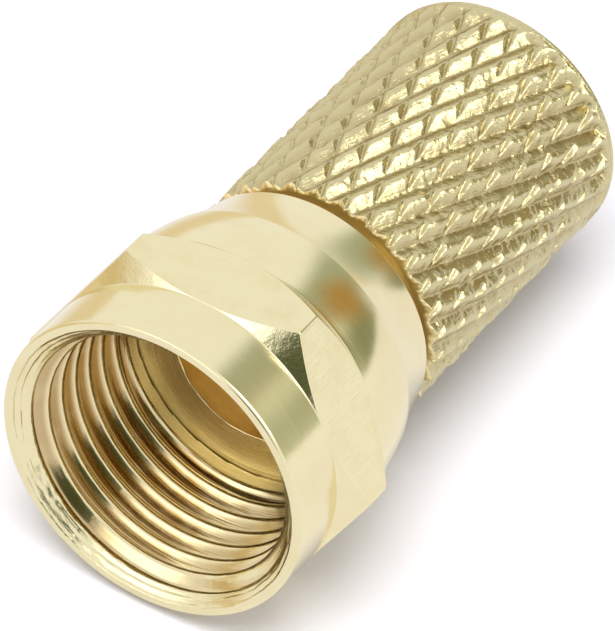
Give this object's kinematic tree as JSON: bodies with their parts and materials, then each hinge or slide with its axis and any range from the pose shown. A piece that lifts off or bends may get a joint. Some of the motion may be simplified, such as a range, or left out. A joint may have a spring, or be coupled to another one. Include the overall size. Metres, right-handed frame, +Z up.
{
  "type": "f connector",
  "caption": "Twist-on coaxial cable connector: hexagonal threaded coupling nut spinning on a turned body with a diamond-knurled cable sleeve.",
  "frame": {"origin": "on the axis at the reference plane, the front face of the body's flange, where the neck bore opens", "axes": "+Y along the connector's axis toward the cable end, the nut opens toward -Y, +Z up with a flat of the hexagon below"},
  "size_m": [0.0128, 0.0212, 0.011],
  "materials": {
    "coupling_nut": "bright pale gold plate over turned and milled brass",
    "connector_body": "bright pale gold plate over a rolled knurl"
  },
  "bodies": {
    "body": {"connector_body": "connector_body"},
    "nut": {"coupling_nut": "coupling_nut"}
  },
  "joints": [
    {"name": "nut_spin", "type": "hinge", "parent": "body", "child": "nut", "pos_m": [0, 0, 0], "axis": [0, 1, 0], "continuous": true}
  ]
}
